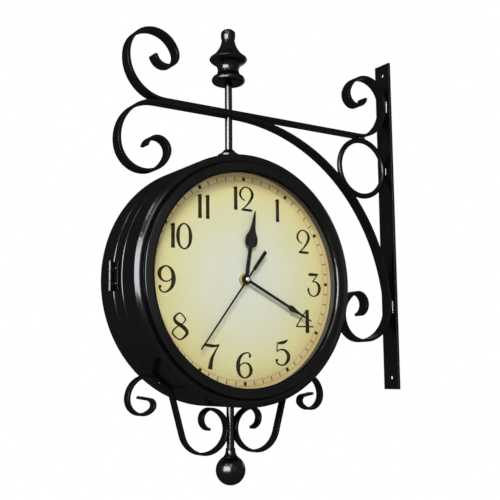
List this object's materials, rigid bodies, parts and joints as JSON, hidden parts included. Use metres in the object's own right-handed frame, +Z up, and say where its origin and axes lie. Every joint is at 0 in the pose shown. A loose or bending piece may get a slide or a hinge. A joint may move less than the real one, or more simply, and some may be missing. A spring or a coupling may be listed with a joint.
{
  "type": "double-sided wall clock",
  "caption": "Round drum clock with a dial on each side, hung from a scrolled iron wall bracket; the rear half opens as a hinged door to reach the battery movements.",
  "frame": {"origin": "on the wall, midway between the two screw holes of the wall bar", "axes": "+X into the wall, -Y out of the front dial, +Z up"},
  "size_m": [0.3146, 0.0778, 0.4256],
  "materials": {
    "black_case": "semi-gloss paint",
    "black_iron": "satin paint",
    "black_turned": "gloss paint",
    "zinc_steel": "zinc plated",
    "magnet": "matt",
    "clear_glass": "clear",
    "cream_dial": "matt print",
    "black_hands": "satin paint",
    "brass": "turned",
    "black_plastic": "fine texture",
    "pale_plastic": "moulded",
    "black_rubber": "matt",
    "battery_wrap": "printed wrap"
  },
  "bodies": {
    "bracket_and_case": {"wall_bar": "black_iron", "upper_scroll_strip": "black_iron", "lower_scroll_strip": "black_iron", "bracket_ring": "black_iron", "finial": "black_turned", "hanger_rod": "black_turned", "top_flange": "black_case", "rod_nuts": "zinc_steel", "centre_band": "black_case", "front_shell": "black_case", "hinge_leaf_fixed": "black_case", "hinge_pin": "black_case", "hinge_rivets_fixed": "black_case", "catch_magnet": "magnet", "foot_scroll_left": "black_iron", "foot_scroll_right": "black_iron", "foot_screws": "black_iron", "lower_rod": "black_turned", "lower_collar": "black_turned", "ball": "black_turned", "front_glass": "clear_glass", "front_reveal_ring": "black_case", "front_dial": "cream_dial", "front_retaining_ring": "zinc_steel", "front_movement_case": "black_plastic", "front_movement_cover": "black_plastic", "front_rubber_gasket": "black_rubber", "front_dial_nut": "brass", "front_battery": "battery_wrap", "front_battery_contacts": "zinc_steel"},
    "rear_door": {"rear_shell": "black_case", "hinge_leaf_door": "black_case", "hinge_rivets_door": "black_case", "catch_strike": "zinc_steel", "rear_glass": "clear_glass", "rear_reveal_ring": "black_case", "rear_dial": "cream_dial", "rear_retaining_ring": "zinc_steel", "rear_movement_case": "black_plastic", "rear_movement_cover": "black_plastic", "rear_rubber_gasket": "black_rubber", "rear_dial_nut": "brass", "rear_battery": "battery_wrap", "rear_battery_contacts": "zinc_steel"},
    "front_second": {"front_second_hand": "black_hands", "front_seconds_wheel": "zinc_steel"},
    "front_minute": {"front_minute_hand": "black_hands", "front_minute_wheel": "brass"},
    "front_hour": {"front_hour_hand": "black_hands", "front_hour_wheel": "pale_plastic"},
    "front_setting": {"front_set_knob": "pale_plastic"},
    "rear_second": {"rear_second_hand": "black_hands", "rear_seconds_wheel": "zinc_steel"},
    "rear_minute": {"rear_minute_hand": "black_hands", "rear_minute_wheel": "brass"},
    "rear_hour": {"rear_hour_hand": "black_hands", "rear_hour_wheel": "pale_plastic"},
    "rear_setting": {"rear_set_knob": "pale_plastic"}
  },
  "joints": [
    {"name": "rear_door_swing", "type": "hinge", "parent": "bracket_and_case", "child": "rear_door", "pos_m": [-0.3124, 0.0075, -0.072], "axis": [0, 0, 1], "range_deg": [0, 105]},
    {"name": "front_second_turn", "type": "hinge", "parent": "bracket_and_case", "child": "front_second", "pos_m": [-0.1972, -0.028, -0.072], "axis": [0, 1, 0], "continuous": true},
    {"name": "front_minute_turn", "type": "hinge", "parent": "bracket_and_case", "child": "front_minute", "pos_m": [-0.1972, -0.028, -0.072], "axis": [0, 1, 0], "continuous": true},
    {"name": "front_hour_turn", "type": "hinge", "parent": "bracket_and_case", "child": "front_hour", "pos_m": [-0.1972, -0.028, -0.072], "axis": [0, 1, 0], "continuous": true},
    {"name": "front_setting_turn", "type": "hinge", "parent": "bracket_and_case", "child": "front_setting", "pos_m": [-0.1972, -0.028, -0.0624], "axis": [0, 1, 0], "continuous": true},
    {"name": "rear_second_turn", "type": "hinge", "parent": "rear_door", "child": "rear_second", "pos_m": [-0.1972, 0.028, -0.072], "axis": [0, -1, 0], "continuous": true},
    {"name": "rear_minute_turn", "type": "hinge", "parent": "rear_door", "child": "rear_minute", "pos_m": [-0.1972, 0.028, -0.072], "axis": [0, -1, 0], "continuous": true},
    {"name": "rear_hour_turn", "type": "hinge", "parent": "rear_door", "child": "rear_hour", "pos_m": [-0.1972, 0.028, -0.072], "axis": [0, -1, 0], "continuous": true},
    {"name": "rear_setting_turn", "type": "hinge", "parent": "rear_door", "child": "rear_setting", "pos_m": [-0.1972, 0.028, -0.0624], "axis": [0, -1, 0], "continuous": true}
  ],
  "couplings": [
    {"joint": "front_hour_turn", "follows": "front_minute_turn", "ratio": 0.083333},
    {"joint": "front_setting_turn", "follows": "front_minute_turn", "ratio": -0.33333},
    {"joint": "rear_hour_turn", "follows": "rear_minute_turn", "ratio": 0.083333},
    {"joint": "rear_setting_turn", "follows": "rear_minute_turn", "ratio": -0.33333}
  ]
}
